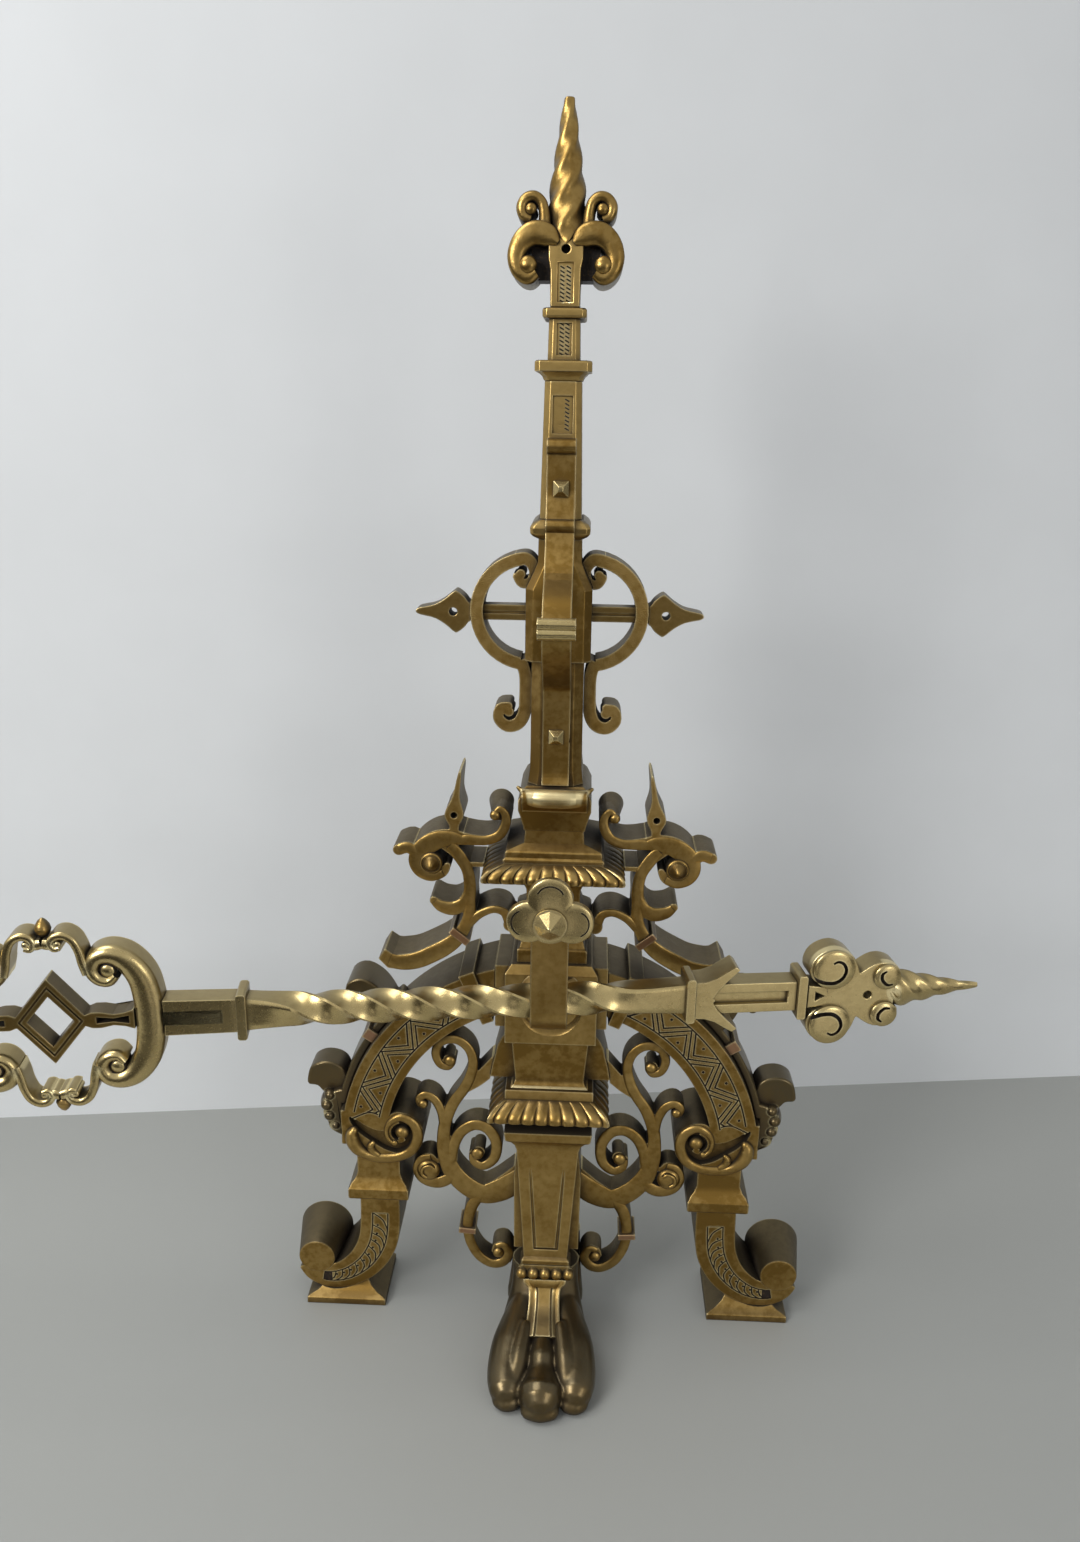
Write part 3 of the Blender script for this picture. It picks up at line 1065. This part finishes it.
class ANDIRON_OT_crossbar(PieceOperator, bpy.types.Operator):
    """Twisted bars with their collars, fishtails and end finials"""

    bl_idname = "andiron.crossbar"
    bl_label = "Crossbar"

    def build(self):
        for side, base in (("right", BAR), ("left", BAR @ Matrix.Rotation(math.pi, 4, "Z"))):
            self.bar(side, base)
            self.finial(side, base)
        dress("bar_collars", bright_brass(), 0.6)
        dress("bar_fishtails", bright_brass(), 0.9)

    def kept(self, node, base, along, way):
        """The part of a casting on one side of a place along the bar, closed at the cut."""
        bm = casting(node)
        cut_off(bm, base @ Vector((along * MM, 0, 0)), base.to_3x3() @ Vector((way, 0, 0)))
        return bm

    def bar(self, side, base):
        """Flat lengths as cast, and between them a square bar wound by seven quarter turns."""
        node = "bar_" + side
        # place along the bar, half depth, half height and quarter turns; slow at both ends
        rows = glide([(98, 6.5, 9.8, 0), (102, 6.6, 9.3, 0), (112, 6.9, 8.3, 0.02),
                      (124, 7.2, 7.4, 0.2), (136, 7.25, 7.25, 0.66), (148, 7.25, 7.25, 1.14),
                      (171, 7.25, 7.25, 2.1), (195, 7.25, 7.25, 3.08), (220, 7.25, 7.25, 4.06),
                      (242, 7.25, 7.25, 4.9), (260, 7.25, 7.25, 5.44), (279, 7.25, 7.25, 6.02),
                      (294, 7.3, 7.3, 6.62), (306, 7.25, 7.4, 6.94), (318, 7.1, 7.7, 7),
                      (330, 6.8, 8.4, 7), (342, 6.5, 9.2, 7)], 9)
        lengthwise = Matrix(((0, 0, 1, 0), (1, 0, 0, 0), (0, 1, 0, 0), (0, 0, 0, 1)))
        places = []
        for x, deep, high, quarters in rows:
            if quarters > 6.5:
                deep, high = high, deep
            places.append(base @ Matrix.Translation((x * MM, 0, 0))
                          @ Matrix.Rotation(math.pi / 2 * quarters, 4, "X") @ lengthwise
                          @ Matrix.Diagonal((deep * MM, high * MM, 1, 1)))
        wound = bmesh.new()
        pulled(wound, circle_face(wound, 40), sections(soft_square(40, 9), places))
        outward(wound)
        flats = [self.kept(node, base, WOUND_FROM, 1), self.kept(node, base, WOUND_TO, -1)]
        for flat in flats:
            soften(flat, sizes().edge)
        bm = joined([wound, *flats])
        shade(bm, 40)
        finished(bm, node + "_wound", body_of(node), [bright_brass()], [node])

    def finial(self, side, base):
        """Scrolls and heart as cast, with a twisted spike drawn anew."""
        node = "bar_finial_" + side
        scrolls = self.kept(node, base, SPIKE_FROM, 1)
        soften(scrolls, sizes().edge * 1.2, 28, 3)
        # domed volutes, and the dark turns cut into them
        volutes = bmesh.new()
        cuts = bmesh.new()
        face = -half_depth(scrolls, base) / MM
        for rise in (1, -1):
            for x, z, wide in ((421.4, 17, 11.8), (452.4, 11.6, 7.6)):
                knob(volutes, x, rise * z, [(-3, wide), (face, wide), (face - 0.5, wide - 0.5),
                                            (face - 0.9, wide - 1.6), (face - 1.2, wide - 3.4),
                                            (face - 1.35, wide - 5.4), (face - 1.4, 1)])
            for path in ([(407, 14.6, 1), (410, 12.2, 1.1), (413, 10.8, 1.2), (417, 9.7, 1.2),
                          (422, 9.8, 1.2), (426, 12.6, 1.1), (427.6, 17, 1), (426, 21, 0.9),
                          (422.8, 22.6, 0.8), (420, 21.4, 0.6)],
                         [(455.4, 7.6, 0.5), (452, 7.4, 0.9), (449, 10.4, 1), (448.8, 13.8, 0.9),
                          (451.2, 15.8, 0.5)]):
                sweep(cuts, [(x, rise * z, wide) for x, z, wide in path], face - 3, face + 1.2, 0)
        for shells in (volutes, cuts):
            outward(shells)
            moved(shells, base)
        spare = cuts.copy()
        scrolls = joined([carved(scrolls, cuts, "MANIFOLD"), carved(volutes, spare, "MANIFOLD")])
        # height, radius and y
        rows = [(452, 9, 0), (456, 11.6, 0), (461, 12.2, 0), (469, 10.8, 0), (477, 8.8, 0),
                (486, 6.6, 0), (494, 4.6, 0), (502, 3, 0), (508, 2.1, 0), (509.6, 1.8, 0),
                (510, 1.2, 0)]
        flatter = Matrix(((0, 0, 1, 0), (0.7, 0, 0, 0), (0, 1, 0, 0), (0, 0, 0, 1)))
        bm = joined([scrolls, twisted_spike(rows, base @ flatter, 7, 4)])
        shade(bm, 40)
        finished(bm, node + "_scrolls", body_of(node), [bright_brass(), crust()], [node])


class ANDIRON_OT_centre(PieceOperator, bpy.types.Operator):
    """Open ornament at the crossbar's middle"""

    bl_idname = "andiron.centre"
    bl_label = "Centre ornament"

    def build(self):
        self.frame()
        dress("centre_diamond", aged_brass(), 0.7)
        dress("centre_buds", aged_brass(), 0.0)

    def frame(self):
        """Two half round C-scrolls that roll into bosses, and the small scrolls to the buds."""
        bm = bmesh.new()
        for flip in (1, -1):
            upper = [(35.4, 25.6, 2.4), (31.4, 22, 3.4), (26, 23.4, 3.8), (23, 29, 4.2),
                     (25.8, 35.2, 4.8), (33, 37, 5.6), (41, 32.8, 6.6), (47.4, 23, 7.3),
                     (49.9, 11, 7.6)]
            path = upper + [(50.3, 0, 7.7)] + [(x, -z, wide) for x, z, wide in reversed(upper)]
            sweep(bm, [(flip * x, z, wide) for x, z, wide in path], -6.9, 6.9, 4.4)
            for z in (28.4, -28.4):
                boss(bm, flip * 31.6, z, 4.5, -6.2, 6, 2.4)
            for rise in (1, -1):
                sweep(bm, [(flip * x, rise * z, wide) for x, z, wide in (
                    (21.4, 27, 2.9), (19.4, 33, 2.5), (18, 40, 2.3), (15.4, 46, 2.3), (11, 49, 2.3),
                    (6.6, 48.4, 2.2), (4.2, 45, 1.9), (5.8, 41.8, 1.7), (8.8, 42.2, 1.5))],
                      -6.5, 6.5, 1.4)
                boss(bm, flip * 8, rise * 44.2, 1.9, -6, 6, 0.9)
                # heel that joins the two small scrolls under the bud
                sweep(bm, [(flip * x, rise * z, wide) for x, z, wide in (
                    (6.4, 46.4, 2.3), (3.6, 44.2, 2.9), (0.4, 44.6, 2.6))], -6.2, 6.2, 1.4)
        outward(bm)
        # the dark turn round each boss
        for face in bm.faces:
            middle = face.calc_center_median() / MM
            away = math.hypot(abs(middle.x) - 31.6, abs(middle.z) - 28.4)
            if 3.7 < away < 4.8 and middle.y > -5.4:
                face.material_index = 1
        shade(bm, 50)
        finished(moved(bm, BAR), "centre_frame", body_of("centre_scrolls"),
                 [bright_brass(), crust()], ["centre_scrolls"])


class ANDIRON_OT_stage(PieceOperator, bpy.types.Operator):
    """Floor, wall, lights and camera"""

    bl_idname = "andiron.stage"
    bl_label = "Stage"

    def build(self):
        c = colours()
        self.sheet("floor", Matrix.Translation((0, 1.26, 0)) @ Matrix.Diagonal((2.6, 1.6, 1, 1)),
                   c.floor)
        self.sheet("wall", Matrix.Translation((0, UPRIGHT.y + sizes().wall_gap, 0))
                   @ Matrix.Rotation(WALL_TURN, 4, "Z") @ Matrix.Rotation(math.pi / 2, 4, "X")
                   @ Matrix.Diagonal((3, 2, 1, 1)) @ Matrix.Translation((0, 1, 0)), c.wall)
        # place and side in metres, and power in watts
        for name, place, size, power in (
                ("key", (-1.2, -1.4, 1.1), 0.7, 21), ("top", (-0.8, -0.3, 1.8), 0.9, 12),
                ("fill", (1.1, -1.4, 0.5), 0.5, 3), ("bounce", (0.48, -0.56, 0.02), 0.5, 0.5),
                ("card", (0.0, -0.68, 0.01), 0.24, 0.09)):
            self.lamp(name, place, size, power)
        self.room()
        self.camera()

    def room(self):
        world = bpy.context.scene.world or bpy.data.worlds.new("studio")
        bpy.context.scene.world = world
        world.use_nodes = True
        tree = world.node_tree
        # a dim floor below the horizon and a pale room above it
        up = add(tree, "SeparateXYZ", {}, {0: add(tree, "TexCoord", {}, {}, "Generated")}, "Z")
        share = add(tree, "MapRange", SMOOTH, {"Value": up, "From Min": -0.14, "From Max": 0.12})
        fill(tree, tree.nodes["Background"], {
            "Color": add(tree, "Mix", COLOURS, {
                "Factor": share, "A": srgb("3a3835"), "B": srgb("e0e2e4")}, "Result"),
            "Strength": 0.76})

    def camera(self):
        data = bpy.data.cameras.new("camera")
        data.sensor_width = 36
        data.lens = LENS_MM
        data.clip_start = 0.01
        camera = bpy.data.objects.new("camera", data)
        bpy.context.scene.collection.objects.link(camera)
        camera.matrix_world = (
            Matrix.Translation(EYE)
            @ Matrix.Rotation(EYE_TURN, 4, "Z")
            @ Matrix.Rotation(math.pi / 2 - EYE_TILT, 4, "X")
            @ Matrix.Rotation(EYE_ROLL, 4, "Z"))
        bpy.context.scene.camera = camera

    def sheet(self, name, place, paint):
        bm = bmesh.new()
        bmesh.ops.create_grid(bm, x_segments=1, y_segments=1, size=1, matrix=place)
        mesh = bpy.data.meshes.new(name)
        bm.to_mesh(mesh)
        bm.free()
        # matt paint with faint clouds of 90 mm
        material, tree, shader, place = new_material("painted " + name)
        clouds = add(tree, "TexNoise", {}, {
            "Vector": place, "Scale": 1 / (90 * MM), "Detail": 3, "Roughness": 0.55})
        share = add(tree, "Math", TIMES, {0: clouds, 1: 0.12})
        fill(tree, shader, {
            "Base Color": add(tree, "Mix", COLOURS, {
                "Factor": share, "A": paint, "B": srgb("8e8f8b")}, "Result"),
            "Roughness": 0.55})
        mesh.materials.append(material)
        sheet = bpy.data.objects.new(name, mesh)
        bpy.context.scene.collection.objects.link(sheet)

    def lamp(self, name, place, size, power):
        data = bpy.data.lights.new(name, "AREA")
        data.shape = "SQUARE"
        data.size = size
        data.energy = power
        lamp = bpy.data.objects.new(name, data)
        bpy.context.scene.collection.objects.link(lamp)
        aim = Vector((0, 0.05, 0.3)) - Vector(place)
        turn = aim.to_track_quat("-Z", "Y").to_matrix().to_4x4()
        lamp.matrix_world = Matrix.Translation(place) @ turn


STEPS = (
    ANDIRON_OT_stage,
    ANDIRON_OT_front_leg,
    ANDIRON_OT_capitals,
    ANDIRON_OT_arches,
    ANDIRON_OT_side_legs,
    ANDIRON_OT_scrolls,
    ANDIRON_OT_upright,
    ANDIRON_OT_rings,
    ANDIRON_OT_strap,
    ANDIRON_OT_hook,
    ANDIRON_OT_crossbar,
    ANDIRON_OT_centre,
)


class ANDIRON_PT_panel(bpy.types.Panel):
    """Sidebar panel with the andiron's steps"""

    bl_idname = "ANDIRON_PT_panel"
    bl_label = "Andiron"
    bl_space_type = "VIEW_3D"
    bl_region_type = "UI"
    bl_category = "Andiron"

    def draw(self, context):
        for group in (context.scene.andiron_sizes, context.scene.andiron_colours):
            for key in group.__annotations__:
                self.layout.prop(group, key)
        for step in STEPS:
            self.layout.operator(step.bl_idname)


CLASSES = (AndironSizes, AndironColours, *STEPS, ANDIRON_PT_panel)


def register():
    for cls in CLASSES:
        bpy.utils.register_class(cls)
    bpy.types.Scene.andiron_sizes = bpy.props.PointerProperty(type=AndironSizes)
    bpy.types.Scene.andiron_colours = bpy.props.PointerProperty(type=AndironColours)


def unregister():
    del bpy.types.Scene.andiron_colours
    del bpy.types.Scene.andiron_sizes
    for cls in reversed(CLASSES):
        bpy.utils.unregister_class(cls)


def main():
    register()
    bpy.context.scene.view_settings.view_transform = "Standard"
    for step in STEPS:
        group, name = step.bl_idname.split(".")
        getattr(getattr(bpy.ops, group), name)()


if __name__ == "__main__":
    main()
